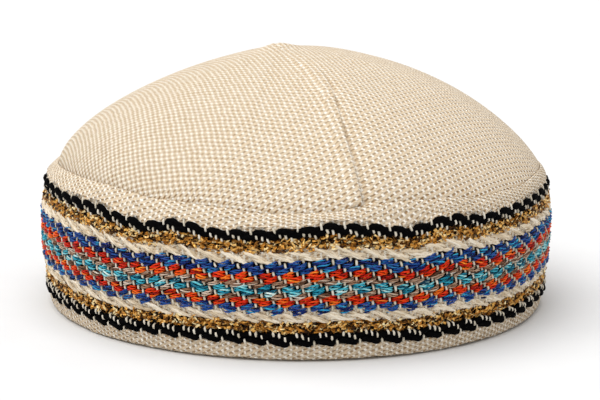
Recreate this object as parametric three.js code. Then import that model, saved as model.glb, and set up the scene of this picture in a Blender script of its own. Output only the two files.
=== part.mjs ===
// A woven skullcap: a crown of two cloth halves sewn to a wide striped band.
// Millimetres, +Z up. The rim rests on z = 0 and its centre is the origin.
// Azimuths are in degrees: 0 is the front (-Y) and 90 is the right side (+X).

import * as THREE from 'three';

// Band: a wall that swells out to its waist, from the hem up to the shoulder
const rimRadius = 84.6;
const wallSwell = 3.9;
const waistHeight = 30;
const hemHeight = 5.6;
const hemRound = 0.8;
const stripedHeight = 39.7;
const bandThickness = 2.4;
const yarnThickness = 0.9;
const waveHeight = 2;

// Shoulder of bare cloth that rolls in to the seam with the crown
const shoulderRise = 4.7;
const shoulderInset = 4.9;
const shoulderCrest = { inset: 0.42, rise: 0.52 };
const seamTuck = 2.2;

// Crown
const crownRise = 36.9;
const crownThickness = 1.6;
const apexShiftLeft = 6;
const apexKnotRise = 0.7;
const apexKnotRadius = 5;
const apexHoleRadius = 0.8;
const frontSeamAzimuth = 15;
const backSeamAzimuth = 203;
const sideFlattening = 1;

// Seam over the middle of the crown: a raised allowance on the left half, and a dip
// of the right half beside it, which fades out towards the apex
const ridgeWidth = 3.6;
const ridgeHeight = 0.7;
const dipWidth = 9;
const frontDipDepth = 2.2;
const backDipDepth = 0.9;
const dipReach = 0.5;

// Scallops of the thick black yarn
const scallopCount = 72;
const scallopDepth = 1.1;
const blackYarnProud = 0.3;

// Gap that neighbouring pieces keep
const clearance = 0.3;

// Facets: one station to each scallop round the band, fewer on the crown. The
// column beside a seam takes no more than its share of a half, and normals are
// taken a little short of the apex, where the crown's surface closes.
const stations = scallopCount;
const crownColumns = 18;
const crownRows = 8;
const edgeShareLimit = 1 / 8;
const lastNormalShare = 0.97;

// Stripes from the hem up. Width is in parts of the striped zone, and a ground
// row is bare cream cloth with no yarn of its own.
const stripes = [
  { name: 'stripe_black_lower', width: 38, colour: 0x17171a, roughness: 0.95, scallop: 'bottom' },
  { name: 'stripe_gold_lower', width: 42, colour: 0xc79a4b, roughness: 0.45, metalness: 0.6 },
  { name: 'ground_lower', width: 28, ground: true },
  { name: 'stripe_blue_lower', width: 26, colour: 0x1f4f94, roughness: 0.5 },
  { name: 'stripe_red_lower', width: 24, colour: 0xc9401c, roughness: 0.5 },
  { name: 'stripe_tan_lower', width: 12, colour: 0xa08565, roughness: 0.7 },
  { name: 'stripe_turquoise', width: 28, colour: 0x3f93a5, roughness: 0.5 },
  { name: 'stripe_tan_upper', width: 17, colour: 0xa08565, roughness: 0.7 },
  { name: 'stripe_red_upper', width: 27, colour: 0xc9401c, roughness: 0.5 },
  { name: 'stripe_blue_upper', width: 36, colour: 0x1f4f94, roughness: 0.5 },
  { name: 'ground_upper', width: 31, ground: true },
  { name: 'stripe_gold_upper', width: 44, colour: 0xc79a4b, roughness: 0.45, metalness: 0.6 },
  { name: 'stripe_black_upper', width: 44, colour: 0x17171a, roughness: 0.95, scallop: 'top' },
];

// Waves of the band. Lift is a share of waveHeight: low near the hem, high at
// the top of the striped zone, and seam where the crown is sewn on.
const waves = [
  { azimuth: 0, low: 0, high: 0.15, seam: -0.8 },
  { azimuth: 8, low: 0.15, high: 0.8, seam: -0.6 },
  { azimuth: 15, low: 0.3, high: 0.4, seam: 0.2 },
  { azimuth: 25, low: -0.1, high: -0.5, seam: 0.6 },
  { azimuth: 34, low: -0.05, high: 0.55, seam: 0.3 },
  { azimuth: 46, low: -0.1, high: -0.3, seam: -0.4 },
  { azimuth: 60, low: -0.2, high: 0, seam: -0.3 },
  { azimuth: 75, low: 0.15, high: 0.25, seam: 0.2 },
  { azimuth: 95, low: 0, high: 0.1, seam: 0.2 },
  { azimuth: 120, low: -0.15, high: -0.4, seam: -0.3 },
  { azimuth: 145, low: 0.1, high: 0.35, seam: 0.3 },
  { azimuth: 170, low: -0.1, high: -0.35, seam: -0.3 },
  { azimuth: 200, low: 0.15, high: 0.4, seam: 0.3 },
  { azimuth: 230, low: -0.1, high: -0.35, seam: -0.3 },
  { azimuth: 265, low: 0, high: 0.3, seam: 0.1 },
  { azimuth: 297, low: 0, high: 0.55, seam: 0.8 },
  { azimuth: 310, low: -0.25, high: 0.5, seam: 0.8 },
  { azimuth: 318, low: -0.35, high: -0.3, seam: 0.4 },
  { azimuth: 325, low: 0.1, high: -0.9, seam: -0.1 },
  { azimuth: 333, low: 0.2, high: 0.1, seam: 0 },
  { azimuth: 343, low: 0.35, high: -0.6, seam: -0.3 },
  { azimuth: 352, low: 0.3, high: -0.5, seam: -0.9 },
];

// Fullness of the crown: the exponent of its meridian curve, from 1 for a cone
// to 2 for a round dome, on the left and right sides, at the base and the top.
const fullness = {
  left: { base: 1.63, top: 1.45 },
  right: { base: 1.33, top: 2.08 },
};

// Halves of the crown, each from one end of the seam round to the other. Rises
// are those of its two edges above the plain crown, in the same order as its ends.
const halves = [
  {
    name: 'crown_right',
    ends: [frontSeamAzimuth, backSeamAzimuth],
    rises: [-frontDipDepth, -backDipDepth],
    edgeWidth: dipWidth,
    edgeReach: dipReach,
  },
  {
    name: 'crown_left',
    ends: [backSeamAzimuth, frontSeamAzimuth + 360],
    rises: [ridgeHeight, ridgeHeight],
    edgeWidth: ridgeWidth,
    edgeReach: Infinity,
  },
];

const stationStep = 360 / stations;
const recessDepth = yarnThickness + clearance;
const shoulderHeight = hemHeight + stripedHeight;
const seamHeight = shoulderHeight + shoulderRise;
const seamRadius = wallRadius(shoulderHeight) - shoulderInset;
const seamGap = clearance / 2;

const radians = THREE.MathUtils.degToRad;
const degrees = THREE.MathUtils.radToDeg;
const mix = THREE.MathUtils.lerp;

// Position on a level circle round the Z axis
function ringPoint(radius, azimuth, height) {
  const angle = radians(azimuth);
  return new THREE.Vector3(radius * Math.sin(angle), -radius * Math.cos(angle), height);
}

// Lift share of one wave column at an azimuth, eased between the table's rows
function waveShare(azimuth, column) {
  const turn = ((azimuth % 360) + 360) % 360;
  const next = waves.findIndex((row) => row.azimuth > turn);
  const before = waves[(next > 0 ? next : waves.length) - 1];
  const after = next > 0 ? waves[next] : waves[0];
  const span = (after.azimuth - before.azimuth + 360) % 360;
  const share = (turn - before.azimuth) / span;
  return mix(before[column], after[column], THREE.MathUtils.smoothstep(share, 0, 1));
}

// Lift of the band cloth in millimetres, straight between stations
function lift(azimuth, height) {
  const low = hemHeight;
  const high = shoulderHeight;
  const at = (column) => {
    const first = Math.floor(azimuth / stationStep) * stationStep;
    const share = (azimuth - first) / stationStep;
    return mix(waveShare(first, column), waveShare(first + stationStep, column), share) * waveHeight;
  };
  if (height <= low) {
    return at('low') * Math.max(height, 0) / low;
  }
  if (height <= high) {
    return mix(at('low'), at('high'), (height - low) / (high - low));
  }
  return mix(at('high'), at('seam'), Math.min((height - high) / (seamHeight - high), 1));
}

// Outer radius of the band's wall below the shoulder
function wallRadius(height) {
  const swell = Math.sin((Math.PI / 2) * (height / waistHeight));
  return rimRadius + wallSwell * swell;
}

// Closed solid swept round the axis from a loop of corners in {radius, height}.
// The loop may change with the azimuth but keeps its number of corners.
function ringGeometry(loopAt, steps) {
  const positions = [];
  const indices = [];
  const corners = loopAt(0, 0).length;
  for (let step = 0; step < steps; step += 1) {
    const azimuth = (360 * step) / steps;
    for (const corner of loopAt(azimuth, step)) {
      const height = corner.height + lift(azimuth, corner.height);
      positions.push(...ringPoint(corner.radius, azimuth, height).toArray());
    }
  }
  for (let step = 0; step < steps; step += 1) {
    const here = step * corners;
    const there = ((step + 1) % steps) * corners;
    for (let corner = 0; corner < corners; corner += 1) {
      const above = (corner + 1) % corners;
      indices.push(here + corner, there + corner, there + above);
      indices.push(here + corner, there + above, here + above);
    }
  }
  return closedGeometry(positions, indices);
}

function closedGeometry(positions, indices) {
  const geometry = new THREE.BufferGeometry();
  geometry.setAttribute('position', new THREE.Float32BufferAttribute(positions, 3));
  geometry.setIndex(indices);
  geometry.computeVertexNormals();
  return geometry;
}

// Stripe rows with their bottom and top heights worked out
function stackedStripes() {
  const parts = stripes.reduce((sum, stripe) => sum + stripe.width, 0);
  const scale = stripedHeight / parts;
  let bottom = hemHeight;
  return stripes.map((stripe) => {
    const top = bottom + stripe.width * scale;
    const row = { ...stripe, bottom, top };
    bottom = top;
    return row;
  });
}

// Section of the band cloth: hem, recesses under the yarns, cream grounds,
// rolled shoulder and the lip at the seam, then the inner face down again
function bandSection(rows) {
  const wall = (height, inset = 0) => ({ radius: wallRadius(height) - inset, height });
  const section = [wall(0, hemRound), wall(hemRound), wall(hemHeight), wall(hemHeight, recessDepth)];
  for (const row of rows.filter((stripe) => stripe.ground)) {
    section.push(wall(row.bottom, recessDepth), wall(row.bottom));
    section.push(wall(row.top), wall(row.top, recessDepth));
  }
  const lipRadius = seamRadius + seamGap;
  const shoulder = wall(shoulderHeight);
  const crest = wall(shoulderHeight, shoulderInset * shoulderCrest.inset);
  crest.height += shoulderRise * shoulderCrest.rise;
  section.push(wall(shoulderHeight, recessDepth), shoulder, crest);
  section.push({ radius: lipRadius, height: seamHeight });
  section.push({ radius: lipRadius, height: seamHeight - seamTuck });
  section.push(wall(shoulderHeight - bandThickness / 2, bandThickness));
  section.push(wall(waistHeight, bandThickness));
  section.push(wall(0, bandThickness));
  return section;
}

function bandGeometry(rows) {
  const section = bandSection(rows);
  return ringGeometry(() => section, stations);
}

// A stripe's yarns as one ring, standing on the recessed band cloth. A
// scalloped stripe has two steps to a station, and every second one draws in.
function stripeGeometry(stripe) {
  const scalloped = Boolean(stripe.scallop);
  const steps = scalloped ? stations * 2 : stations;
  const proud = scalloped ? blackYarnProud : 0;
  return ringGeometry((azimuth, step) => {
    const drawn = scalloped && step % 2 === 1 ? scallopDepth : 0;
    const low = stripe.bottom + seamGap + (stripe.scallop === 'bottom' ? drawn : 0);
    const high = stripe.top - seamGap - (stripe.scallop === 'top' ? drawn : 0);
    return [
      { radius: wallRadius(low) - yarnThickness, height: low },
      { radius: wallRadius(low) + proud, height: low },
      { radius: wallRadius(high) + proud, height: high },
      { radius: wallRadius(high) - yarnThickness, height: high },
    ];
  }, steps);
}

// Point of the plain crown at an azimuth and a share of the way to the apex
function crownPoint(azimuth, share) {
  const side = (1 + Math.sin(radians(azimuth))) / 2;
  const base = mix(fullness.left.base, fullness.right.base, side);
  const top = mix(fullness.left.top, fullness.right.top, side);
  const power = 2 / mix(base, top, share);
  const angle = (Math.PI / 2) * share;
  const out = Math.cos(angle) ** power;
  const up = Math.sin(angle) ** power;
  const across = (1 - Math.cos(radians(4 * (azimuth - frontSeamAzimuth)))) / 2;
  const flat = sideFlattening * across * Math.sin(2 * angle);
  const radius = (seamRadius - seamGap - flat) * out;
  const foot = seamHeight + lift(azimuth, seamHeight) * out;
  const point = ringPoint(radius, azimuth, foot + crownRise * up);
  point.x -= apexShiftLeft * (1 - out);
  return point;
}

// Outward normal of the plain crown, from two short steps along it
function crownNormal(azimuth, share) {
  const azimuthStep = 1;
  const shareStep = 0.01;
  const here = crownPoint(azimuth, share);
  const along = crownPoint(azimuth + azimuthStep, share).sub(here);
  const rise = crownPoint(azimuth, share + shareStep).sub(here);
  return along.cross(rise).normalize();
}

// Mean radius of the crown at a share of the way to the apex
function crownReach(share) {
  const front = crownPoint(frontSeamAzimuth, share);
  const back = crownPoint(backSeamAzimuth, share);
  return Math.max(Math.hypot(front.x - back.x, front.y - back.y) / 2, apexHoleRadius);
}

// Point on the small circle round the apex where the halves end
function apexPoint(azimuth) {
  const point = ringPoint(apexHoleRadius, azimuth, seamHeight + crownRise);
  point.x -= apexShiftLeft;
  return point;
}

// One line of points across a half, outside and inside, at a share of the way up
function crownLine(half, share) {
  const reach = crownReach(share);
  const gap = degrees(seamGap / reach);
  const start = half.ends[0] + gap;
  const span = half.ends[1] - gap - start;
  const edgeSpan = Math.min(degrees(half.edgeWidth / reach), span * edgeShareLimit);
  const plainStep = (span - 2 * edgeSpan) / (crownColumns - 2);
  const fade = share > 0 ? Math.max(1 - share / half.edgeReach, 0) : 0;
  const knot = apexKnotRise * Math.exp(-((reach / apexKnotRadius) ** 2));
  const line = { outer: [], inner: [] };
  for (let column = 0; column <= crownColumns; column += 1) {
    const edge = [0, crownColumns].indexOf(column);
    const plain = edgeSpan + (column - 1) * plainStep;
    const offset = edge < 0 ? plain : edge * span;
    const azimuth = start + offset;
    const point = share < 1 ? crownPoint(azimuth, share) : apexPoint(azimuth);
    const normal = crownNormal(azimuth, Math.min(share, lastNormalShare));
    const rise = edge < 0 ? 0 : half.rises[edge] * fade;
    const sink = Math.min(rise, 0) - crownThickness;
    point.z += knot;
    line.outer.push(point.clone().addScaledVector(normal, rise));
    line.inner.push(point.clone().addScaledVector(normal, sink));
  }
  return line;
}

// A half: a tuck inside the band's lip, then lines up to the apex
function crownGeometry(half) {
  const tuck = crownLine(half, 0);
  for (const point of [...tuck.outer, ...tuck.inner]) {
    point.z -= seamTuck;
  }
  const lines = [tuck];
  for (let row = 0; row <= crownRows; row += 1) {
    lines.push(crownLine(half, row / crownRows));
  }
  const outer = lines.flatMap((line) => line.outer);
  const inner = lines.flatMap((line) => line.inner);
  return sheetGeometry(outer, inner, crownColumns + 1);
}

// Closed solid between an outer and an inner grid with the same number of rows
function sheetGeometry(outer, inner, columns) {
  const rows = outer.length / columns;
  const positions = [...outer, ...inner].flatMap((point) => point.toArray());
  const indices = [];
  const quad = (a, b, c, d) => indices.push(a, b, c, a, c, d);
  const offset = outer.length;
  for (let row = 0; row < rows - 1; row += 1) {
    for (let column = 0; column < columns - 1; column += 1) {
      const a = row * columns + column;
      const b = a + 1;
      const c = b + columns;
      const d = a + columns;
      quad(a, b, c, d);
      quad(a + offset, d + offset, c + offset, b + offset);
    }
    const left = row * columns;
    const right = left + columns - 1;
    quad(left, left + columns, left + columns + offset, left + offset);
    quad(right, right + offset, right + columns + offset, right + columns);
  }
  for (let column = 0; column < columns - 1; column += 1) {
    const top = (rows - 1) * columns + column;
    quad(column, column + offset, column + 1 + offset, column + 1);
    quad(top, top + 1, top + 1 + offset, top + offset);
  }
  return closedGeometry(positions, indices);
}

function clothMesh(name, geometry, colour, roughness, metalness = 0) {
  const material = new THREE.MeshStandardMaterial({ color: colour, roughness, metalness });
  const mesh = new THREE.Mesh(geometry, material);
  mesh.name = name;
  return mesh;
}

const bandColour = 0xe4d6bd;
const crownColour = 0xe9dcc4;
const clothRoughness = 0.9;

const rows = stackedStripes();
const cap = new THREE.Group();
cap.add(clothMesh('band_cloth', bandGeometry(rows), bandColour, clothRoughness));
for (const row of rows.filter((stripe) => !stripe.ground)) {
  cap.add(clothMesh(row.name, stripeGeometry(row), row.colour, row.roughness, row.metalness));
}
for (const half of halves) {
  cap.add(clothMesh(half.name, crownGeometry(half), crownColour, clothRoughness));
}

export default cap;
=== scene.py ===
"""A woven skullcap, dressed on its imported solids: a cream crown of two halves sewn to a band
of coloured yarns. Lengths are in millimetres here and in metres in the meshes. Azimuths are
in degrees: 0 is the front (-Y) and 90 is the right side (+X)."""

import collections
import math

import bpy
import numpy as np
from mathutils import Matrix, Vector


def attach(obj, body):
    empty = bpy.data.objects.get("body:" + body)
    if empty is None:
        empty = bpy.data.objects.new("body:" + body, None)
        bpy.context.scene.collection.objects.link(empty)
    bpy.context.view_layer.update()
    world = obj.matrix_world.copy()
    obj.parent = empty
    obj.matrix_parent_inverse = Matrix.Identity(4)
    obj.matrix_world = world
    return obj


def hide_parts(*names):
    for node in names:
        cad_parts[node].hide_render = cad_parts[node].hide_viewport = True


MM = 0.001

# Camera, fitted to the photograph's frame
IMAGE_WIDTH = 600
FOCAL_PIXELS = 3106
SENSOR_WIDTH = 36
CAMERA_DISTANCE = 1073
CAMERA_ELEVATION = 12.94
CAMERA_ROLL = 0.46
CAMERA_TARGET = (1.25, 0, 33.96)

# Setting
WORLD_STRENGTH = 0.54
FLOOR_SIZE = 8000

# Band
RIM_RADIUS = 84.6
WALL_SWELL = 2.8
WAIST_HEIGHT = 30
HEM_HEIGHT = 5.6
HEM_GAP = 0.6
STRIPED_HEIGHT = 39.7
SHOULDER_RISE = 4.7
SHOULDER_INSET = 4
SHOULDER_BULGE = 0.06
TOP_TUCK = 0.7
TOP_TUCK_START = 36
TOP_TUCK_REACH = 9
BAND_THICKNESS = 2.4
WAVE_HEIGHT = 2
SHOULDER_HEIGHT = HEM_HEIGHT + STRIPED_HEIGHT
SEAM_HEIGHT = SHOULDER_HEIGHT + SHOULDER_RISE
SEAM_GAP = 0.15
SEAM_TUCK = 1.8

# Where the cap isn't round: its back is flatter, in the band by a share of its radius and in
# the crown by less, and its right side is fuller
BACK_START = 82
BACK_REACH = 30
BACK_FLATTENING = 0.03
CROWN_ROUNDING = 0.5
CROWN_ROUNDING_START = 46
CROWN_ROUNDING_REACH = 10
RIGHT_FULLNESS = 1.8

# At the sides the top of the band and the seam sag. Behind them the yarns above SINK_HEIGHT
# sink in below the shoulder
SAG_START = 35
SAG_REACH = 40
HIGH_SAG = 0.6
SEAM_SAG = 1.4
SINK_LEFT = 1.4
SINK_RIGHT = 0.4
SINK_REACH = 8
SINK_HEIGHT = 40
SINK_RISE = 2

# Stripes from the hem up: name, width in parts of the striped zone, rows of yarn
STRIPES = [
    ("black_lower", 38, 0),
    ("gold_lower", 42, 0),
    ("ground_lower", 28, 3),
    ("blue_lower", 26, 2),
    ("red_lower", 24, 2),
    ("tan_lower", 12, 1),
    ("turquoise", 28, 2),
    ("tan_upper", 17, 2),
    ("red_upper", 27, 2),
    ("blue_upper", 36, 3),
    ("ground_upper", 31, 3),
    ("gold_upper", 44, 0),
    ("black_upper", 44, 0),
]

# Waves of the band: azimuth, then lift as a share of WAVE_HEIGHT near the hem, at the
# top of the striped zone and at the seam
WAVES = np.array([
    (0, 0, 0.15, -0.8),
    (8, 0.15, 0.8, -0.6),
    (15, 0.3, 0.4, 0.2),
    (25, -0.1, -0.5, 0.6),
    (34, -0.05, 0.55, 0.3),
    (46, -0.1, -0.3, -0.4),
    (60, -0.2, 0, -0.3),
    (75, 0.15, 0.25, 0.2),
    (95, 0, 0.1, -0.3),
    (120, -0.15, -0.4, -0.3),
    (145, 0.1, 0.35, 0.3),
    (170, -0.1, -0.35, -0.3),
    (200, 0.15, 0.4, 0.3),
    (230, -0.1, -0.35, -0.3),
    (265, 0, 0.2, -0.4),
    (297, 0, 0.55, 0.8),
    (310, -0.25, 0.5, 0.8),
    (318, -0.35, -0.3, 0.4),
    (325, 0.1, -0.9, -0.1),
    (333, 0.2, 0.1, 0),
    (343, 0.35, -0.6, -0.3),
    (352, 0.3, -0.5, -0.9),
])
WAVE_LOW, WAVE_HIGH, WAVE_SEAM = 1, 2, 3

# Weave of the band: repeats of the twill round it, and warps to a repeat
REPEATS = 72
REPEAT_WARPS = 4
WARPS = REPEAT_WARPS * REPEATS
WARP_STEP = 360 / WARPS
FIRST_WARP = 0.4
WARP_LEAN = 12

# Floats of the twill, whose ends dive FLOAT_DEPTH below the wall
Float = collections.namedtuple("Float", "length tilt out strands twist strand_width steps")
COLOURED_FLOAT = Float(length=4.7, tilt=15, out=0.35, strands=4, twist=1.5, strand_width=0.31, steps=6)
GROUND_FLOAT = Float(length=8.4, tilt=-14, out=0, strands=2, twist=4.2, strand_width=0.66, steps=8)
# Half the width of a float: for coloured ones a share of their row's height
COLOURED_GIRTH_SHARE = 0.66
GROUND_GIRTH = 0.62
FLOAT_DEPTH = 0.7
FLOAT_FLATNESS = 3.2
FLOAT_SPREAD = {"azimuth": 0.1, "height": 0.08, "length": 0.06, "tilt": 5, "girth": 0.07, "out": 0.12}

# Cream warps that show on top of the twill, between two floats. Spreads of length and width,
# as of the floats' length and girth, are shares
END_LENGTH_SHARE = 1.6
END_WIDTH = 0.4
END_DEPTH = 0.6
COLOURED_END_OUT = -0.1
GROUND_END_OUT = -0.5
END_SPREAD = {"height": 0.12, "length": 0.08, "lean": 5, "width": 0.08}

# Thick black yarns, two rows to a stripe. At each of the four warps of a repeat: height,
# how proud the yarn stands, and its half width
BLACK_UPPER_ROWS = [
    ((42.4, -0.9, 0.6), (43.6, 0.1, 1.15), (43.5, 0.2, 1.2), (42.8, -0.1, 1.0)),
    ((41.9, 0.0, 1.0), (42.3, -0.7, 0.8), (42.2, -0.6, 0.8), (41.9, -0.1, 1.0)),
]
BLACK_LOWER_ROWS = [
    ((8.7, -0.2, 0.9), (8.4, 0.0, 1.0), (8.0, 0.0, 1.0), (8.3, -0.2, 1.0)),
    ((6.9, 0.0, 1.0), (6.5, 0.2, 1.05), (6.1, 0.2, 1.15), (7.0, -0.8, 0.6)),
]
BLACK_TOP = max(height for height, _, _ in BLACK_UPPER_ROWS[0])
BLACK_REPEAT_STEPS = 16
# Cream warps over the black yarns: warp, height, length and how proud they stand
BLACK_UPPER_ENDS = [(0, 43.7, 2.8, 0.1), (1, 42.4, 2.0, 0.3), (2, 41.7, 2.0, 0.2), (3, 41.0, 2.0, 0.2)]
BLACK_LOWER_ENDS = [(0, 9.0, 1.8, 0.5), (1, 8.6, 1.9, 0.7), (2, 7.9, 1.9, 0.7), (3, 6.0, 2.0, 0.2)]

# Gold foil: ribbons to a repeat, mean and spread of their slant, range of half lengths and of
# half widths, half thickness, and range of how proud they lie
FOIL_RIBBONS = 58
FOIL_SLANT = (8, 38)
FOIL_HALF_LENGTH = (0.45, 1.05)
FOIL_HALF_WIDTH = (0.2, 0.48)
FOIL_HALF_THICKNESS = 0.05
FOIL_OUT = (-0.7, 0.2)

# Ground cloth of the band: how deep it lies behind the yarns, and how it is divided
YARN_BED = 1.1
GROUND_BED = 0.35
GROUND_MARGIN = 0.8
BED_TOP_DROP = 0.4
HEM_RELIEF = 0.26
SHOULDER_RELIEF = 0.18
HEM_ROUNDING = (2.3, 2.2, 0.9, 0.4, 0.12, 0.02)
HEM_ROW_STEP = 0.35
BED_ROWS = 32
ROLL_ROWS = 15
INNER_ROWS = 12
WARP_COLUMNS = 4

# Crown
CROWN_RISE = 36.9
CROWN_THICKNESS = 1.3
CROWN_ROWS = 100
CROWN_COLUMNS = 150
APEX_SHARE = 0.996
APEX_SHIFT_LEFT = 6
APEX_KNOT = (-6.5, 6)
APEX_KNOT_RISE = 1.5
APEX_KNOT_RADIUS = 5.5
FRONT_SEAM_AZIMUTH = 15
BACK_SEAM_AZIMUTH = 203
SIDE_FLATTENING = 1
FULLNESS_LEFT = (1.63, 1.4)
FULLNESS_RIGHT = (1.33, 2.08)

# Seam of the crown: a ridge on its left, a groove and a dip on its right, and a bow of both
HALF_GAP = 0.03
SEAM_BOW = 4.5
RIDGE_WIDTH = 3.6
RIDGE_HEIGHT = 1.0
RIDGE_EDGE = 0.8
RIDGE_FADE = 0.3
BACK_RIDGE_END = 0.7
GROOVE_DEPTH = 0.8
GROOVE_FADE = 0.05
DIP_WIDTH = 9
FRONT_DIP_DEPTH = 2.2
BACK_DIP_DEPTH = 0.9
DIP_REACH = 0.5
APEX_FADE = 0.04
FOOT_FADE = 0.05

# Threads of the cream cloth: warps run along the crown's seam and up the band. The crown's
# warps spread apart towards the front. A stray is how far threads leave their places
BAND_WEFT_PITCH = 0.85
CROWN_WEFT_PITCH = 1.03
CROWN_WARP_PITCH = 1.52
FRONT_SPREAD = 0.3
FRONT_SPREAD_REACH = 75
FRONT_BLEND = 20
BAND_STRAY = 0.75
CROWN_STRAY = 0.36

# Look of the cream cloth, as shares of the waves that make its threads
THREAD_LEAN = 0.62
WARP_NARROWNESS = 0.7
WARP_START = 0.45
WARP_CONTRAST = 1.4
WARP_LINE = 0.25
WARP_LINE_NARROWNESS = 1.4
WEFT_HEIGHT = 0.7
GAP_NARROWNESS = 0.5
GAP_FULL = 0.8
GAP_DROP = 0.8
PATCHINESS = 1.1
WEAVE_BUMP = 0.0004

# How dark the painted shade in the gaps between the threads is: in the band, all over the crown,
# and what is added at the crown's foot
BAND_GAP_SHADE = 0.75
CROWN_GAP_SHADE = 0.42
CROWN_FOOT_GAP_SHADE = 0.6
FOOT_SHADE_REACH = 0.14

rng = np.random.default_rng(5786)


def mix(low, high, share):
    return low + (high - low) * share


def ease(share):
    share = np.clip(share, 0, 1)
    return share * share * (3 - 2 * share)


def linear(red, green, blue):
    """A screen colour of 0 to 255 as a linear one."""
    screen = np.array([red, green, blue]) / 255
    return (*np.where(screen <= 0.04045, screen / 12.92, ((screen + 0.055) / 1.055) ** 2.4), 1)


def ring_point(radius, azimuth, height):
    angle = np.radians(azimuth)
    return np.stack(np.broadcast_arrays(
        radius * np.sin(angle), -radius * np.cos(angle), height), -1).astype(float)


def outward(azimuth):
    return ring_point(1, azimuth, 0)


def from_front(azimuth):
    return np.abs((np.asarray(azimuth) + 180) % 360 - 180)


def rightness(azimuth):
    """0 at the left side, 1 at the right side."""
    return (1 + np.sin(np.radians(azimuth))) / 2


def cap_point(radius, azimuth, height):
    """A point of the cap, whose back is a little flatter than a circle."""
    flat = BACK_FLATTENING * ease((from_front(azimuth) - BACK_START) / BACK_REACH)
    flat = flat * (1 - CROWN_ROUNDING * ease((height - CROWN_ROUNDING_START) / CROWN_ROUNDING_REACH))
    return ring_point(radius * (1 - flat), azimuth, height)


def seam_radius(azimuth):
    return SEAM_RADIUS + RIGHT_FULLNESS * np.clip(np.sin(np.radians(azimuth)), 0, 1) ** 2


def unit(vectors):
    return vectors / np.maximum(np.linalg.norm(vectors, axis=-1, keepdims=True), 1e-9)


# Shape of the band

def wave(azimuth, column):
    turn = azimuth % 360
    after = np.searchsorted(WAVES[:, 0], turn, side="right") % len(WAVES)
    before = after - 1
    span = (WAVES[after, 0] - WAVES[before, 0]) % 360
    share = ((turn - WAVES[before, 0]) % 360) / span
    return mix(WAVES[before, column], WAVES[after, column], ease(share)) * WAVE_HEIGHT


def lift(azimuth, height):
    """How far the waves and the sag raise or lower a place of the cap."""
    azimuth, height = np.broadcast_arrays(np.asarray(azimuth, float), np.asarray(height, float))
    low, high, seam = (wave(azimuth, column) for column in (WAVE_LOW, WAVE_HIGH, WAVE_SEAM))
    aside = ease((from_front(azimuth) - SAG_START) / SAG_REACH)
    high, seam = high - HIGH_SAG * aside, seam - SEAM_SAG * aside
    hem = low * np.clip(height, 0, None) / HEM_HEIGHT
    wall = mix(low, high, (height - HEM_HEIGHT) / STRIPED_HEIGHT)
    roll = mix(high, seam, np.clip((height - SHOULDER_HEIGHT) / SHOULDER_RISE, 0, 1))
    return np.where(height <= HEM_HEIGHT, hem, np.where(height <= SHOULDER_HEIGHT, wall, roll))


def wall_radius(height):
    swell = WALL_SWELL * np.sin(np.pi / 2 * height / WAIST_HEIGHT)
    return RIM_RADIUS + swell - TOP_TUCK * ease((height - TOP_TUCK_START) / TOP_TUCK_REACH)


def top_sink(azimuth, height):
    """How far the yarns sink in at a place behind the sides."""
    behind = ease((from_front(azimuth) - BACK_START) / SINK_REACH)
    sink = behind * mix(SINK_LEFT, SINK_RIGHT, rightness(azimuth))
    return sink * ease((height - SINK_HEIGHT) / SINK_RISE)


def wall_point(azimuth, height, out):
    """A point of the yarns."""
    radius = wall_radius(height) + out - top_sink(azimuth, height)
    return cap_point(radius, azimuth, height + lift(azimuth, height))


def stripe_edges():
    """Bottom, top and rows of each stripe."""
    scale = STRIPED_HEIGHT / sum(width for _, width, _ in STRIPES)
    edges, bottom = {}, HEM_HEIGHT
    for name, width, rows in STRIPES:
        edges[name] = (bottom, bottom + width * scale, rows)
        bottom += width * scale
    return edges


EDGES = stripe_edges()
SEAM_RADIUS = wall_radius(SHOULDER_HEIGHT) - SHOULDER_INSET


# Meshes

def add_mesh(name, points, faces, material, attributes, smooth=True):
    """An object from points in millimetres, arrays of faces and attributes of its points or of
    its faces' corners."""
    mesh = bpy.data.meshes.new(name)
    loops = np.concatenate([f.ravel() for f in faces])
    sizes = np.concatenate([np.full(len(f), f.shape[1]) for f in faces])
    mesh.vertices.add(len(points))
    mesh.vertices.foreach_set("co", (points * MM).astype(np.float32).ravel())
    mesh.loops.add(len(loops))
    mesh.loops.foreach_set("vertex_index", loops.astype(np.int32))
    mesh.polygons.add(len(sizes))
    starts = np.concatenate([[0], np.cumsum(sizes)[:-1]])
    mesh.polygons.foreach_set("loop_start", starts.astype(np.int32))
    mesh.polygons.foreach_set("use_smooth", np.full(len(sizes), smooth))
    for key, values in attributes.items():
        kind = "FLOAT_VECTOR" if values.ndim == 2 else "FLOAT"
        field = "vector" if values.ndim == 2 else "value"
        layer = mesh.attributes.new(key, kind, "POINT" if len(values) == len(points) else "CORNER")
        layer.data.foreach_set(field, values.astype(np.float32).ravel())
    mesh.update(calc_edges=True)
    mesh.validate()
    mesh.materials.append(material)
    piece = bpy.data.objects.new(name, mesh)
    bpy.context.collection.objects.link(piece)
    return piece


def grid_faces(rows, columns, wrap=False, first=0):
    """Quads of a grid of points, row by row. A wrapped grid closes round its columns."""
    row = np.arange(rows - 1)[:, None]
    column = np.arange(columns if wrap else columns - 1)[None, :]
    beside = (column + 1) % columns
    here, there = row * columns + column, row * columns + beside
    quads = np.stack([here, there, there + columns, here + columns], -1)
    return quads.reshape(-1, 4) + first


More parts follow.
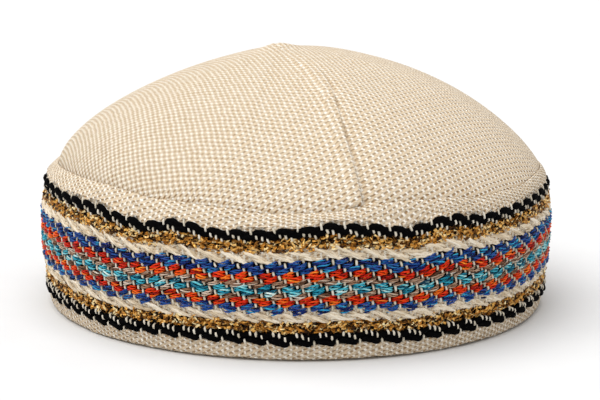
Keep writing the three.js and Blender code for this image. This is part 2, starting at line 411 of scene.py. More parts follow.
def tubes(name, centre, out, wide, thick, tone, material, sides=6, closed=False, twist=0,
          smooth=True):
    """Yarns as oval tubes. centre and out are [yarn, step, 3]; wide lies in the cloth and
    thick stands out of it; tone is one number for each yarn. The fibre attribute runs round
    a yarn and along it, and its last number sets one yarn's streaks apart from the next's."""
    yarns, steps = centre.shape[:2]
    if closed:
        along = np.roll(centre, -1, 1) - np.roll(centre, 1, 1)
    else:
        along = np.gradient(centre, axis=1)
    along = unit(along)
    side = unit(np.cross(out, along))
    normal = np.cross(along, side)
    turn = np.arange(sides) * 2 * np.pi / sides
    spin = np.broadcast_to(twist, (yarns, steps))[..., None]
    wide = np.broadcast_to(wide, (yarns, steps))[..., None]
    thick = np.broadcast_to(thick, (yarns, steps))[..., None]
    across, up = wide * np.cos(turn), thick * np.sin(turn)
    across, up = across * np.cos(spin) - up * np.sin(spin), across * np.sin(spin) + up * np.cos(spin)
    points = centre[:, :, None] + side[:, :, None] * across[..., None] + normal[:, :, None] * up[..., None]
    step = np.arange(steps if closed else steps - 1)
    beside = (step + 1) % steps
    corner = np.arange(sides)
    following = (corner + 1) % sides
    quad = np.stack(np.broadcast_arrays(
        step[:, None] * sides + corner, step[:, None] * sides + following,
        beside[:, None] * sides + following, beside[:, None] * sides + corner), -1).reshape(-1, 4)
    start = np.arange(yarns) * steps * sides
    faces = [(start[:, None, None] + quad).reshape(-1, 4)]
    if not closed:
        faces.append(start[:, None] + corner[::-1])
        faces.append(start[:, None] + (steps - 1) * sides + corner)
    length = np.linalg.norm(np.diff(centre, axis=1), axis=-1).cumsum(1)
    length = np.concatenate([np.zeros((yarns, 1)), length], 1)
    fibre = np.stack(np.broadcast_arrays(
        corner[None, None, :] / sides * 4.0, length[..., None],
        (np.arange(yarns) * 7.3 % 97)[:, None, None]), -1).reshape(-1, 3)
    tones = np.broadcast_to(tone[:, None, None], (yarns, steps, sides)).reshape(-1)
    attributes = {"tone": tones, "fibre": fibre}
    return add_mesh(name, points.reshape(-1, 3), faces, material, attributes, smooth)


# Materials

CREAM_WARP = linear(252, 244, 231)
CREAM_WEFT = linear(222, 201, 171)
# Brown of the gaps between the threads: partly their own colour, partly painted shade
GAP_BROWN_AND_SHADE = linear(158, 116, 68)


class Shader:
    """A node material with short calls for the nodes that the cloths share."""

    def __init__(self, name):
        self.material = bpy.data.materials.new(name)
        self.material.use_nodes = True
        self.tree = self.material.node_tree
        self.surface = self.tree.nodes["Principled BSDF"]

    def node(self, kind, links=None, **settings):
        made = self.tree.nodes.new(kind)
        for key, value in settings.items():
            setattr(made, key, value)
        for key, value in (links or {}).items():
            self.join(made.inputs[key], value)
        return made

    def join(self, socket, value):
        if isinstance(value, bpy.types.NodeSocket):
            self.tree.links.new(value, socket)
        else:
            socket.default_value = value

    def math(self, operation, *values, clamp=False):
        made = self.node("ShaderNodeMath", dict(enumerate(values)), operation=operation)
        made.use_clamp = clamp
        return made.outputs[0]

    def attribute(self, name, output="Fac"):
        return self.node("ShaderNodeAttribute", attribute_name=name).outputs[output]

    def noise(self, scale, detail=2, vector=None, rough=0.5):
        links = {"Scale": scale, "Detail": detail, "Roughness": rough}
        if vector is not None:
            links["Vector"] = vector
        else:
            links["Vector"] = self.node("ShaderNodeTexCoord").outputs["Object"]
        return self.node("ShaderNodeTexNoise", links).outputs["Fac"]

    def shifted(self, vector, shift):
        links = {0: vector, 1: shift}
        return self.node("ShaderNodeVectorMath", links, operation="ADD").outputs[0]

    def scaled(self, vector, factors):
        links = {0: vector, 1: factors}
        return self.node("ShaderNodeVectorMath", links, operation="MULTIPLY").outputs[0]

    def ramp(self, factor, stops):
        made = self.node("ShaderNodeValToRGB", {"Fac": factor})
        elements = made.color_ramp.elements
        made.color_ramp.interpolation = "EASE"
        while len(elements) < len(stops):
            elements.new(0.5)
        for element, (position, colour) in zip(elements, stops):
            element.position = position
            element.color = colour
        return made.outputs["Color"]

    def blend(self, factor, low, high):
        made = self.node("ShaderNodeMix", data_type="RGBA")
        self.join(made.inputs[0], factor)
        self.join(made.inputs[6], low)
        self.join(made.inputs[7], high)
        return made.outputs[2]

    def bump(self, height, distance, strength=1.0):
        links = {"Height": height, "Distance": distance, "Strength": strength}
        return self.node("ShaderNodeBump", links).outputs["Normal"]

    def set(self, **values):
        names = {"colour": "Base Color", "roughness": "Roughness", "normal": "Normal",
                 "metallic": "Metallic", "specular": "Specular IOR Level"}
        for key, value in values.items():
            self.join(self.surface.inputs[names[key]], value)
        return self.material


def silk(name, stops, roughness=0.42, shade=1.4):
    """Silky yarn whose strands each take a tone, with streaks along them."""
    shader = Shader(name)
    fibre = shader.attribute("fibre", "Vector")
    streak = shader.noise(1.0, 3, shader.scaled(fibre, (2.4, 0.5, 1.0)), 0.65)
    tone = shader.math("ADD", shader.attribute("tone"),
                       shader.math("MULTIPLY", shader.math("SUBTRACT", streak, 0.5), shade), clamp=True)
    colour = shader.ramp(tone, stops)
    normal = shader.bump(streak, 0.0003, 0.6)
    rough = shader.math("ADD", shader.math("MULTIPLY", streak, 0.3), roughness - 0.15)
    return shader.set(colour=colour, roughness=rough, normal=normal, specular=0.18)


def thread_weave(shader, cloth):
    """Plain weave over counts of warps and wefts: height, share of bright warp and of gap, whose brown is
    partly painted shade.
    """
    parts = shader.node("ShaderNodeSeparateXYZ", {"Vector": cloth}).outputs
    along = shader.math("MULTIPLY", parts["Y"], math.pi)
    sway = shader.math("MULTIPLY", shader.math("SINE", shader.math("MULTIPLY", along, 2.0)), THREAD_LEAN / 2)
    across = shader.math("ADD", shader.math("MULTIPLY", parts["X"], math.pi), sway)
    crossing = shader.math("MULTIPLY", shader.math("COSINE", across), shader.math("COSINE", along))
    corner = shader.math("MULTIPLY", shader.math("SINE", across), shader.math("SINE", along))
    beside = shader.math("SUBTRACT", 1.0, shader.math("COSINE", shader.math("MULTIPLY", across, 2.0)))
    stroke = shader.math("SUBTRACT", crossing, shader.math("MULTIPLY", beside, WARP_NARROWNESS))
    warp = shader.math("MULTIPLY", shader.math("ADD", stroke, WARP_START), WARP_CONTRAST, clamp=True)
    line = shader.math("SUBTRACT", 1.0, shader.math("MULTIPLY", beside, WARP_LINE_NARROWNESS))
    warp = shader.math("ADD", warp, shader.math("MULTIPLY", line, WARP_LINE), clamp=True)
    weft = shader.math("MULTIPLY", crossing, -1.0, clamp=True)
    narrow = shader.math("MULTIPLY", shader.math("SUBTRACT", 2.0, beside), GAP_NARROWNESS)
    gap = shader.math("MULTIPLY", shader.math("SUBTRACT", corner, narrow), 1 / GAP_FULL, clamp=True)
    threads = shader.math("ADD", warp, shader.math("MULTIPLY", weft, WEFT_HEIGHT))
    height = shader.math("SUBTRACT", threads, shader.math("MULTIPLY", gap, GAP_DROP))
    return height, warp, gap


def woven(name, stray):
    """Cream cloth in plain weave: bright warps, broad wefts and brown gaps, their brown partly the
    threads' own and partly painted shade. Its threads drift slowly, and stray from their places over a
    few crossings. The third number of the cloth attribute says how dark the painted shade in its gaps is."""
    shader = Shader(name)
    cloth = shader.attribute("cloth", "Vector")
    moved = cloth
    for scale, reach in ((0.3, (0.5, 0.9, 0)), (1.1, (stray, 1.2 * stray, 0))):
        noise = shader.node("ShaderNodeTexNoise", {"Vector": cloth, "Scale": scale, "Detail": 1.0})
        shift = shader.shifted(noise.outputs["Color"], (-0.5, -0.5, -0.5))
        moved = shader.shifted(moved, shader.scaled(shift, reach))
    height, bright, deep = thread_weave(shader, moved)
    patchy = shader.noise(0.5, 4, cloth, 0.7)
    uneven = shader.math("MULTIPLY", shader.math("SUBTRACT", patchy, 0.5), PATCHINESS)
    colour = shader.blend(shader.math("ADD", bright, uneven, clamp=True), CREAM_WEFT, CREAM_WARP)
    shade = shader.node("ShaderNodeSeparateXYZ", {"Vector": cloth}).outputs["Z"]
    # Painted shade: the gaps darken towards a brown, as far as the cloth's shade number says
    gap_shade_mask = shader.math("MULTIPLY", deep, shader.math("SUBTRACT", shade, uneven), clamp=True)
    colour = shader.blend(gap_shade_mask, colour, GAP_BROWN_AND_SHADE)
    fibre = shader.noise(3.2, 3, cloth, 0.65)
    tall = shader.math("ADD", height, shader.math("MULTIPLY", fibre, 0.35))
    normal = shader.bump(tall, WEAVE_BUMP)
    return shader.set(colour=colour, roughness=0.92, normal=normal, specular=0.2)


def painted_shade_bed_weave():
    """Cloth behind the yarns, deep in their shade, coloured dark brown as painted shade."""
    shader = Shader("yarn_bed_painted_shade")
    height, _, _ = thread_weave(shader, shader.attribute("cloth", "Vector"))
    # Painted shade: the cloth behind the yarns is coloured dark brown
    colour = shader.ramp(height, [(0.1, linear(28, 20, 14)), (0.9, linear(88, 66, 46))])
    return shader.set(colour=colour, roughness=0.95, normal=shader.bump(height, 0.0008), specular=0.1)


def black_wool():
    shader = Shader("black_wool")
    fibre = shader.attribute("fibre", "Vector")
    hair = shader.noise(1.0, 4, shader.scaled(fibre, (3.0, 1.4, 1.0)), 0.7)
    colour = shader.ramp(hair, [(0.3, linear(2, 2, 3)), (0.8, linear(15, 14, 15))])
    normal = shader.bump(hair, 0.0006, 0.8)
    return shader.set(colour=colour, roughness=1.0, normal=normal, specular=0.04)


def gold_foil():
    shader = Shader("gold_foil")
    fibre = shader.attribute("fibre", "Vector")
    patch = shader.noise(0.9, 3, fibre, 0.6)
    tone = shader.math("ADD", shader.attribute("tone"),
                       shader.math("MULTIPLY", shader.math("SUBTRACT", patch, 0.5), 0.8), clamp=True)
    colour = shader.ramp(tone, [(0.1, linear(50, 26, 8)), (0.4, linear(190, 126, 46)),
                                (0.7, linear(238, 184, 94)), (1.0, linear(255, 236, 184))])
    normal = shader.bump(patch, 0.0004, 0.5)
    return shader.set(colour=colour, roughness=0.34, metallic=0.8, normal=normal, specular=0.5)


def yarn_stops(*colours):
    last = len(colours) - 1
    return [(index / last, linear(*colour)) for index, colour in enumerate(colours)]


def make_materials():
    cream_stops = yarn_stops((198, 176, 144), (232, 216, 190), (246, 236, 218))
    warp_stops = yarn_stops((178, 166, 144), (214, 204, 184), (232, 224, 208))
    return {
        "blue": silk("blue_silk", yarn_stops((2, 5, 20), (8, 18, 78), (12, 34, 120), (12, 96, 166),
                                             (60, 46, 136), (16, 120, 184), (70, 200, 232))),
        "red": silk("red_silk", yarn_stops((70, 6, 3), (190, 20, 3), (236, 44, 3), (246, 84, 6),
                                           (255, 164, 50))),
        "tan": silk("tan_silk", yarn_stops((34, 20, 12), (122, 82, 58), (168, 128, 100), (206, 176, 150),
                                           (246, 238, 226))),
        "turquoise": silk("turquoise_silk", yarn_stops((4, 28, 50), (10, 98, 128), (34, 166, 192),
                                                       (120, 216, 224), (246, 248, 236))),
        "cream": silk("cream_cotton", cream_stops, 0.8, 0.4),
        "warp": silk("warp_cotton", warp_stops, 0.8, 0.4),
        "black": black_wool(),
        "gold": gold_foil(),
        "band": woven("band_weave", BAND_STRAY),
        "crown": woven("crown_weave", CROWN_STRAY),
        "bed": painted_shade_bed_weave(),
    }


# Yarns of the band

def float_yarns(azimuth, height, length, tilt, girth, out, kind):
    """Paths, outward directions and radii of floats that each lie in a few strands."""
    along = np.linspace(-1, 1, kind.steps)
    count = len(azimuth)
    level = along[None] * length[:, None] / 2
    slope = np.radians(tilt)[:, None]
    radius = wall_radius(height)[:, None]
    around = azimuth[:, None] + np.degrees(level * np.cos(slope) / radius)
    z = height[:, None] + level * np.sin(slope)
    proud = out[:, None] - (out[:, None] + FLOAT_DEPTH) * np.abs(along[None]) ** FLOAT_FLATNESS
    phase = rng.uniform(0, 2 * np.pi, count)[:, None, None]
    strand = np.arange(kind.strands)[None, :, None] * 2 * np.pi / kind.strands
    turn = phase + strand + kind.twist * along[None, None]
    aside = girth[:, None, None] * (1.1 - kind.strand_width) * np.cos(turn)
    ahead = girth[:, None, None] * 0.3 * np.sin(turn)
    centre = wall_point(around[:, None], z[:, None] + aside, proud[:, None] + ahead)
    directions = np.broadcast_to(outward(around)[:, None], centre.shape)
    taper = 1 - 0.35 * np.abs(along) ** 4
    shape = (count * kind.strands, kind.steps)
    radii = (girth[:, None, None] * kind.strand_width * taper).repeat(kind.strands, 1).reshape(shape)
    return centre.reshape(*shape, 3), directions.reshape(*shape, 3), radii


def twill_rows(name, first_row, material):
    """Floats of a stripe. Each row down steps one warp to the right."""
    bottom, top, rows = EDGES[name]
    pitch = (top - bottom) / rows
    cream = name.startswith("ground")
    kind = GROUND_FLOAT if cream else COLOURED_FLOAT
    row = np.repeat(np.arange(rows), REPEATS)
    repeat = np.tile(np.arange(REPEATS), rows)
    azimuth = FIRST_WARP + (first_row + row + 0.5 + REPEAT_WARPS * repeat) * WARP_STEP
    height = top - (row + 0.5) * pitch
    count = len(azimuth)
    azimuth = azimuth + rng.normal(0, FLOAT_SPREAD["azimuth"], count)
    height = height + rng.normal(0, FLOAT_SPREAD["height"], count)
    length = kind.length * rng.normal(1, FLOAT_SPREAD["length"], count)
    tilt = kind.tilt + rng.normal(0, FLOAT_SPREAD["tilt"], count)
    girth = GROUND_GIRTH if cream else pitch * COLOURED_GIRTH_SHARE
    girth = girth * rng.normal(1, FLOAT_SPREAD["girth"], count)
    out = kind.out + rng.normal(0, FLOAT_SPREAD["out"], count)
    centre, directions, radii = float_yarns(azimuth, height, length, tilt, girth, out, kind)
    base = np.repeat(rng.uniform(0.2, 0.8, count), kind.strands)
    tone = mix(base, rng.uniform(0, 1, count * kind.strands), 0.8)
    return tubes(name, centre, directions, radii, radii * 0.85, tone, material, sides=5)


def warp_ends(material):
    """Cream warps where they lie on top of the twill, and over the black yarns."""
    ends, row = [], 0
    for name in reversed([stripe[0] for stripe in STRIPES if stripe[2]]):
        bottom, top, rows = EDGES[name]
        pitch = (top - bottom) / rows
        proud = GROUND_END_OUT if name.startswith("ground") else COLOURED_END_OUT
        for step in range(rows):
            ends.append((row - 1, top - (step + 1) * pitch, END_LENGTH_SHARE * pitch, proud))
            row += 1
    ends = np.array(ends + BLACK_UPPER_ENDS + BLACK_LOWER_ENDS)
    warp, height, length, out = (np.repeat(column, REPEATS) for column in ends.T)
    repeat = np.tile(np.arange(REPEATS), len(ends))
    azimuth = FIRST_WARP + (warp + REPEAT_WARPS * repeat) * WARP_STEP
    count = len(azimuth)
    height = height + rng.normal(0, END_SPREAD["height"], count)
    length = length * rng.normal(1, END_SPREAD["length"], count)
    along = np.linspace(-1, 1, 5)[None]
    lean = np.radians(WARP_LEAN + rng.normal(0, END_SPREAD["lean"], count))[:, None]
    level = along * length[:, None] / 2
    around = azimuth[:, None] - np.degrees(level * np.sin(lean) / wall_radius(height)[:, None])
    z = height[:, None] + level * np.cos(lean)
    proud = out[:, None] - (out[:, None] + END_DEPTH) * np.abs(along) ** 4
    centre = wall_point(around, z, proud)
    width = END_WIDTH * rng.normal(1, END_SPREAD["width"], count)[:, None]
    width = width * (1 - 0.2 * np.abs(along) ** 4)
    tone = rng.uniform(0.25, 1, count)
    return tubes("warp_ends", centre, outward(around), width, width * 0.8, tone, material)


def around_repeat(values, phase):
    """Smooth course through values at the warps of a repeat, for a phase counted in warps."""
    values = np.asarray(values, float)
    first = np.floor(phase).astype(int)
    share = ease(phase - first)
    return mix(values[first % REPEAT_WARPS], values[(first + 1) % REPEAT_WARPS], share)


def wander(count, step, size):
    """Random course round a closed ring, smooth over a number of steps."""
    knots = rng.normal(0, size, max(count // step, 4))
    place = np.arange(count) / count * len(knots)
    first = place.astype(int)
    return mix(knots[first % len(knots)], knots[(first + 1) % len(knots)], ease(place - first))


def black_yarns(name, rows, material):
    """The thick yarns of a black stripe, each a closed ring."""
    steps = REPEATS * BLACK_REPEAT_STEPS
    azimuth = np.arange(steps) * 360 / steps
    phase = (azimuth - FIRST_WARP) / WARP_STEP
    centres, wides = [], []
    for row in rows:
        heights, outs, halves = zip(*row)
        height = around_repeat(heights, phase) + wander(steps, 24, 0.16)
        out = around_repeat(outs, phase) + wander(steps, 16, 0.08)
        centres.append(wall_point(azimuth, height, out))
        wides.append(around_repeat(halves, phase) + wander(steps, 12, 0.07))
    centre, wide = np.stack(centres), np.stack(wides)
    directions = np.broadcast_to(outward(azimuth), centre.shape)
    tone = rng.uniform(0, 1, len(rows))
    return tubes(name, centre, directions, wide, wide * 0.8, tone, material, sides=8, closed=True)


def gold_ribbons(name, material):
    """Crinkled foil, as short ribbons that lie over one another at all slants."""
    bottom, top, _ = EDGES[name]
    count, steps = REPEATS * FOIL_RIBBONS, 3
    along = np.linspace(-1, 1, steps)[None]
    azimuth = np.arange(count) * 360 / count + rng.normal(0, 0.6, count)
    height = rng.uniform(bottom + 0.1, top - 0.1, count)
    slant = np.radians(rng.normal(*FOIL_SLANT, count))[:, None]
    level = along * rng.uniform(*FOIL_HALF_LENGTH, count)[:, None]
    around = azimuth[:, None] + np.degrees(level * np.cos(slant) / wall_radius(height)[:, None])
    z = height[:, None] + level * np.sin(slant) + rng.normal(0, 0.12, (count, steps))
    z = np.clip(z, bottom - 0.3, top + 0.3)
    out = rng.uniform(*FOIL_OUT, count)[:, None] - 0.3 * np.abs(along) ** 3
    out = out + rng.normal(0, 0.14, (count, steps))
    centre = wall_point(around, z, out)
    twist = rng.normal(0, 0.5, count)[:, None] + rng.normal(0, 0.45, (count, steps))
    wide = rng.uniform(*FOIL_HALF_WIDTH, count)[:, None] * rng.uniform(0.75, 1.2, (count, steps))
    tone = rng.uniform(0, 1, count)
    return tubes(name, centre, outward(around), wide, FOIL_HALF_THICKNESS, tone, material, sides=4,
                 twist=twist, smooth=False)


# Ground cloth of the band

def band_profile():
    """Outer face from the rim up to the lip at the seam, then down the inner face: arrays of
    radius, height, relief of the weave, which cloth shows (0 for cream, 1 for the bed of painted
    shade), share of the seam's own outline and distance along the profile."""
    hem = np.concatenate([[0, HEM_GAP - 0.05, HEM_GAP, HEM_GAP + 0.12],
                          np.arange(1, HEM_HEIGHT + 0.1, HEM_ROW_STEP)])
    rounding = np.zeros(len(hem))
    rounding[:len(HEM_ROUNDING)] = HEM_ROUNDING
    bed = np.linspace(HEM_HEIGHT, SHOULDER_HEIGHT, BED_ROWS)
    grounds = [EDGES["ground_lower"], EDGES["ground_upper"]]
    in_ground = np.any([(bed > low - GROUND_MARGIN) & (bed < high + GROUND_MARGIN)
                        for low, high, _ in grounds], axis=0)
    above_yarns = bed > BLACK_TOP - BED_TOP_DROP
    bed_depth = np.where(above_yarns, 0, np.where(in_ground, GROUND_BED, YARN_BED))
    roll = np.linspace(0, 1, ROLL_ROWS)
    bulge = SHOULDER_BULGE * np.sin(np.pi * roll)
    lip = SEAM_RADIUS + SEAM_GAP
    roll_radius = mix(wall_radius(SHOULDER_HEIGHT), lip, roll - bulge)
    roll_height = mix(SHOULDER_HEIGHT, SEAM_HEIGHT, roll + bulge)
    tuck_radius, tuck_height = [lip - 0.12, lip - 0.15], [SEAM_HEIGHT - 0.25, SEAM_HEIGHT - SEAM_TUCK]
    inner = np.linspace(SHOULDER_HEIGHT - 1, 0, INNER_ROWS)
    plain_bed, plain_inner = np.zeros(BED_ROWS), np.zeros(INNER_ROWS)
    radius = np.concatenate([wall_radius(hem) - rounding, wall_radius(bed) - bed_depth, roll_radius,
                             tuck_radius, wall_radius(inner) - BAND_THICKNESS])
    height = np.concatenate([hem, bed, roll_height, tuck_height, inner])
    relief = np.concatenate([np.where(hem < HEM_GAP, 0, HEM_RELIEF), plain_bed,
                             np.full(ROLL_ROWS, SHOULDER_RELIEF), [0, 0], plain_inner])
    # Rows behind the coloured yarns show the bed of painted shade
    dark = np.concatenate([np.zeros(len(hem)), ~(in_ground | above_yarns), np.zeros(ROLL_ROWS), [0, 0],
                           plain_inner])
    seam_share = np.concatenate([np.zeros(len(hem)), plain_bed, roll, [1, 1], plain_inner])
    steps = np.hypot(np.diff(radius), np.diff(height))
    travel = np.concatenate([[0], np.cumsum(steps)])
    return radius, height, relief, dark.astype(np.int32), seam_share, travel


def band_cloth(materials):
    radius, height, relief, dark, seam_share, travel = band_profile()
    rows, columns = len(height), WARPS * WARP_COLUMNS
    azimuth = np.arange(columns) * 360 / columns
    warps = (azimuth - FIRST_WARP)[None, :] / WARP_STEP
    wefts = (travel / BAND_WEFT_PITCH)[:, None]
    warps, wefts = np.broadcast_arrays(warps, wefts)
    lumps = 0.5 * np.cos(np.pi * warps) * np.cos(np.pi * wefts)
    uneven = np.stack([wander(columns, 10, 0.4) for _ in height])
    # The hem's edge is wavy, and lower towards the back
    low_edge = (height > 0) & (height < 1)
    waver = HEM_GAP * 0.5 * (np.abs(azimuth - 180) / 180 - 1) + wander(columns, 6, 0.1)
    edge = np.where(low_edge, 1, 0)[:, None] * waver
    outline = seam_share[:, None] * (seam_radius(azimuth) - SEAM_RADIUS)
    points = cap_point(radius[:, None] + outline + relief[:, None] * (lumps + uneven), azimuth[None],
                       height[:, None] + edge + lift(azimuth[None], height[:, None]))
    faces = grid_faces(rows, columns, wrap=True)
    last = (rows - 1) * columns
    column = np.arange(columns)
    beside = (column + 1) % columns
    closing = np.stack([last + column, last + beside, beside, column], -1)
    # The thread counts go to the corners of the faces, so that they don't jump where the ring closes
    counts = np.stack([warps, wefts, np.full_like(warps, BAND_GAP_SHADE)], -1).reshape(-1, 3)
    cloth = counts[np.concatenate([faces, closing])]
    across_start = np.ptp(cloth[..., 0], axis=1) > WARPS / 2
    cloth[..., 0] += WARPS * (across_start[:, None] & (cloth[..., 0] < WARPS / 2))
    piece = add_mesh("band_ground", points.reshape(-1, 3), [faces, closing], materials["band"],
                     {"cloth": cloth.reshape(-1, 3)})
    piece.data.materials.append(materials["bed"])
    # Faces behind the coloured yarns take the dark bed of painted shade
    shown = np.concatenate([np.repeat(dark[:-1], columns), np.zeros(columns, np.int32)])
    piece.data.polygons.foreach_set("material_index", shown.astype(np.int32))
    return piece


# Crown

def crown_point(azimuth, share):
    """A point of the crown's smooth form, at a share of the way from its foot to the apex."""
    side = rightness(azimuth)
    base = mix(FULLNESS_LEFT[0], FULLNESS_RIGHT[0], side)
    top = mix(FULLNESS_LEFT[1], FULLNESS_RIGHT[1], side)
    power = 2 / mix(base, top, share)
    angle = np.pi / 2 * share
    out = np.clip(np.cos(angle), 0, 1) ** power
    up = np.sin(angle) ** power
    across = (1 - np.cos(np.radians(4 * (azimuth - FRONT_SEAM_AZIMUTH)))) / 2
    flat = SIDE_FLATTENING * across * np.sin(2 * angle)
    radius = (seam_radius(azimuth) - SEAM_GAP - flat) * out
    height = SEAM_HEIGHT + lift(azimuth, SEAM_HEIGHT) * out + CROWN_RISE * up
    points = cap_point(radius, azimuth, height)
    points[..., 0] -= APEX_SHIFT_LEFT * (1 - out)
    return points


def crown_normal(azimuth, share):
    """Outward direction of the crown's smooth form. The shares leave out the apex itself."""
    share = np.clip(share, 0.002, 0.97)
    along = crown_point(azimuth + 0.5, share) - crown_point(azimuth - 0.5, share)
    rise = crown_point(azimuth, share + 0.002) - crown_point(azimuth, share - 0.002)
    return unit(np.cross(along, rise))


def crown_reach(share):
    """Half the distance between the crown's two seams at one level."""
    front = crown_point(FRONT_SEAM_AZIMUTH, share)
    back = crown_point(BACK_SEAM_AZIMUTH, share)
    return np.maximum(np.hypot(front[..., 0] - back[..., 0], front[..., 1] - back[..., 1]) / 2, 0.4)


def crown_threads(points):
    """Thread counts at points of the crown: warps away from the seam's plane, wefts along it."""
    ends = ring_point(SEAM_RADIUS, np.array([FRONT_SEAM_AZIMUTH, BACK_SEAM_AZIMUTH]), 0)
    along = unit(ends[1] - ends[0])
    right = np.array([along[1], -along[0], 0])
    ball = (SEAM_RADIUS ** 2 + CROWN_RISE ** 2) / (2 * CROWN_RISE)
    centre = np.array([-APEX_SHIFT_LEFT, 0, SEAM_HEIGHT + CROWN_RISE - ball])
    away = points - centre
    far, up = away @ along, away[..., 2]
    back = ball * np.arctan2(far, up)
    front = -FRONT_BLEND * np.logaddexp(0, -back / FRONT_BLEND)
    spread = 1 + FRONT_SPREAD * np.tanh(front / FRONT_SPREAD_REACH)
    warps = ball * np.arctan2(away @ right, np.hypot(far, up)) * spread / CROWN_WARP_PITCH
    return warps, back / CROWN_WEFT_PITCH


def seam_spacing(span, reach):
    """Offsets across a half in degrees, close together beside the seam."""
    near = np.array([0, 0.25, 0.6, 1.1, 1.7, 2.4, 3.1, 3.8, 4.6, 6])
    edge = near * min(math.degrees(1 / reach), span / 10 / near[-1])
    middle = np.linspace(edge[-1], span - edge[-1], CROWN_COLUMNS)[1:-1]
    return np.concatenate([edge, middle, span - edge[::-1]])


def seam_ridge(distance, share):
    height = RIDGE_HEIGHT * ease((1 - share) / RIDGE_FADE)
    edge = ease((RIDGE_WIDTH + RIDGE_EDGE - distance) / (2 * RIDGE_EDGE))
    return height * edge * ease(0.4 + distance / RIDGE_EDGE)


def back_ridge(distance, share):
    return seam_ridge(distance, share) * ease((BACK_RIDGE_END - share) / RIDGE_FADE)


def seam_dip(depth):
    def dip(distance, share):
        wide = depth * np.clip(1 - distance / DIP_WIDTH, 0, 1) ** 2 * max(1 - share / DIP_REACH, 0)
        return -wide - GROOVE_DEPTH * np.exp(-distance) * ease(0.3 + share / GROOVE_FADE)
    return dip


def crown_row(start, end, near_relief, far_relief, share):
    """Outer and inner points of one row of a half, from one seam to the other."""
    reach = float(crown_reach(share))
    gap = math.degrees(HALF_GAP / reach)
    offset = seam_spacing(end - start - 2 * gap, reach)
    bow = SEAM_BOW * np.sin(np.pi * share ** 2) ** 2 * offset / offset[-1]
    if start == FRONT_SEAM_AZIMUTH:
        bow = bow[::-1]
    azimuth = start + gap + offset + np.degrees(bow / reach)
    near = np.radians(offset) * reach
    far = np.radians(offset[-1] - offset) * reach
    relief = (near_relief(near, share) + far_relief(far, share)) * ease((1 - share) / APEX_FADE)
    relief = relief * ease(0.1 + share / FOOT_FADE)
    points = crown_point(azimuth, share)
    knot = np.hypot(points[:, 0] - APEX_KNOT[0], points[:, 1] - APEX_KNOT[1]) / APEX_KNOT_RADIUS
    points[:, 2] += APEX_KNOT_RISE * np.exp(-(knot ** 2))
    normal = crown_normal(azimuth, share)
    outer = points + normal * relief[:, None]
    return outer, points + normal * (np.minimum(relief, 0) - CROWN_THICKNESS)[:, None]


def crown_half(name, start, end, near_relief, far_relief, material):
    """Half of the crown, from the seam at one azimuth round to the seam at the other. The bow and
    the weave's half step at the seam depend on which of them is the front one."""
    shares = np.linspace(0, APEX_SHARE, CROWN_ROWS)
    layers = zip(*(crown_row(start, end, near_relief, far_relief, share) for share in shares))
    outer, inner = (np.stack([layer[0] - (0, 0, SEAM_TUCK), *layer]) for layer in layers)
    warps, wefts = crown_threads(outer)
    warps = warps + (0.5 if start == FRONT_SEAM_AZIMUTH else 0)
    rows, columns = outer.shape[:2]
    points = np.concatenate([outer.reshape(-1, 3), inner.reshape(-1, 3)])
    first = rows * columns
    faces = [grid_faces(rows, columns), grid_faces(rows, columns, first=first)[:, ::-1]]
    row = np.arange(rows - 1) * columns
    column = np.arange(columns - 1)
    for edge, flip in ((row, 1), (row + columns - 1, -1)):
        quad = np.stack([edge, edge + columns, edge + columns + first, edge + first], -1)
        faces.append(quad[:, ::flip])
    for edge, flip in ((column, -1), (column + (rows - 1) * columns, 1)):
        quad = np.stack([edge, edge + 1, edge + 1 + first, edge + first], -1)
        faces.append(quad[:, ::flip])
    # Painted shade: the gaps darken towards the crown's foot, in the crease at the band
    foot = np.exp(-np.linspace(-0.01, APEX_SHARE, rows) / FOOT_SHADE_REACH)
    shade = CROWN_GAP_SHADE + CROWN_FOOT_GAP_SHADE * foot
    cloth = np.stack([warps, wefts, np.broadcast_to(shade[:, None], warps.shape)], -1).reshape(-1, 3)
    return add_mesh(name, points, faces, material, {"cloth": np.concatenate([cloth, cloth])})


# Setting

def place_camera():
    elevation, roll = math.radians(CAMERA_ELEVATION), math.radians(CAMERA_ROLL)
    ahead = Vector((0, math.cos(elevation), -math.sin(elevation)))
    level_up = Vector((0, math.sin(elevation), math.cos(elevation)))
    level_right = Vector((1, 0, 0))
    right = level_right * math.cos(roll) + level_up * math.sin(roll)
    up = level_up * math.cos(roll) - level_right * math.sin(roll)
    data = bpy.data.cameras.new("camera")
    data.sensor_width = SENSOR_WIDTH
    data.lens = FOCAL_PIXELS / IMAGE_WIDTH * SENSOR_WIDTH
    camera = bpy.data.objects.new("camera", data)
    place = Vector(CAMERA_TARGET) - ahead * CAMERA_DISTANCE
    rotation = Matrix((right, up, -ahead)).transposed().to_4x4()
    camera.matrix_world = Matrix.Translation(place * MM) @ rotation
    bpy.context.collection.objects.link(camera)
    bpy.context.scene.camera = camera


def add_sun(name, azimuth, elevation, strength, angle):
    data = bpy.data.lights.new(name, "SUN")
    data.energy = strength
    data.angle = math.radians(angle)
    light = bpy.data.objects.new(name, data)
    level = math.cos(math.radians(elevation))
    toward = Vector((*(outward(azimuth)[:2] * level), math.sin(math.radians(elevation))))
    light.location = toward
    light.rotation_euler = (-toward).to_track_quat("-Z", "Y").to_euler()
    bpy.context.collection.objects.link(light)


def add_floor():
    shader = Shader("pale_floor")
    grain = shader.noise(30, 2)
    shade = shader.ramp(grain, [(0.3, (0.745, 0.745, 0.745, 1)), (0.7, (0.76, 0.76, 0.76, 1))])
    shader.set(colour=shade, roughness=0.9, specular=0.1)
    half = FLOOR_SIZE / 2
    corners = np.array([(-half, -half, 0), (half, -half, 0), (half, half, 0), (-half, half, 0)], float)
    floor = add_mesh("floor", corners, [np.array([[0, 1, 2, 3]])], shader.material, {}, False)


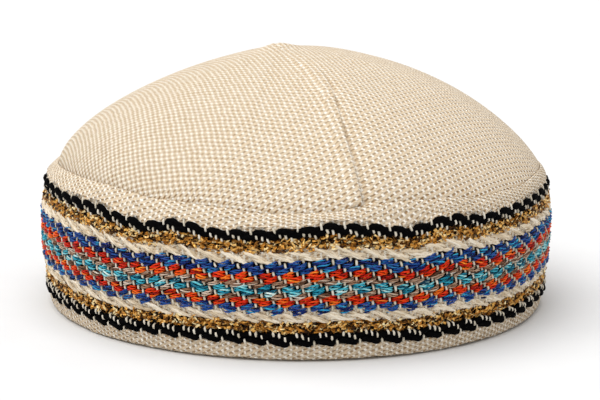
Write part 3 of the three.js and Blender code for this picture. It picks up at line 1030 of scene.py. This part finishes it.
def add_setting():
    world = bpy.data.worlds.new("studio")
    world.use_nodes = True
    background = world.node_tree.nodes["Background"]
    background.inputs["Color"].default_value = (1, 1, 1, 1)
    background.inputs["Strength"].default_value = WORLD_STRENGTH
    bpy.context.scene.world = world
    bpy.context.scene.view_settings.view_transform = "Standard"
    add_sun("key", azimuth=-72, elevation=74, strength=2.8, angle=70)
    add_floor()


def dress(piece, slot, *nodes):
    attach(piece, "root")
    if nodes:
        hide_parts(*nodes)


def add_band(materials):
    ground = band_cloth(materials)
    dress(ground, "band_ground", "band_cloth")
    row = 0
    for name, _, rows in reversed(STRIPES):
        if rows:
            colour = name.split("_")[0]
            shade = "cream" if colour == "ground" else colour
            piece = twill_rows(name, row, materials[shade])
            row += rows
            if colour == "ground":
                dress(piece, "band_ground")
            else:
                dress(piece, colour + "_silk", "stripe_" + name)
    for name, rows in (("black_upper", BLACK_UPPER_ROWS), ("black_lower", BLACK_LOWER_ROWS)):
        dress(black_yarns(name, rows, materials["black"]), "black_yarn", "stripe_" + name)
    for name in ("gold_upper", "gold_lower"):
        dress(gold_ribbons(name, materials["gold"]), "gold_thread", "stripe_" + name)
    dress(warp_ends(materials["warp"]), "band_ground")


def add_crown(materials):
    cloth = materials["crown"]
    right = crown_half("crown_right_cloth", FRONT_SEAM_AZIMUTH, BACK_SEAM_AZIMUTH,
                       seam_dip(FRONT_DIP_DEPTH), seam_dip(BACK_DIP_DEPTH), cloth)
    left = crown_half("crown_left_cloth", BACK_SEAM_AZIMUTH, FRONT_SEAM_AZIMUTH + 360,
                      back_ridge, seam_ridge, cloth)
    dress(right, "crown_cloth", "crown_right")
    dress(left, "crown_cloth", "crown_left")


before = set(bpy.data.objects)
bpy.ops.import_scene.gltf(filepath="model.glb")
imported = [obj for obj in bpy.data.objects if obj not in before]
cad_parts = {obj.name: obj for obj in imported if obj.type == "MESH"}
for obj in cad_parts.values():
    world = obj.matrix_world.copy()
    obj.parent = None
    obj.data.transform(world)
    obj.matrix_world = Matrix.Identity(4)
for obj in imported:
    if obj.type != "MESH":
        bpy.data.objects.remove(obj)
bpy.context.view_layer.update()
place_camera()
add_setting()
all_materials = make_materials()
add_band(all_materials)
add_crown(all_materials)
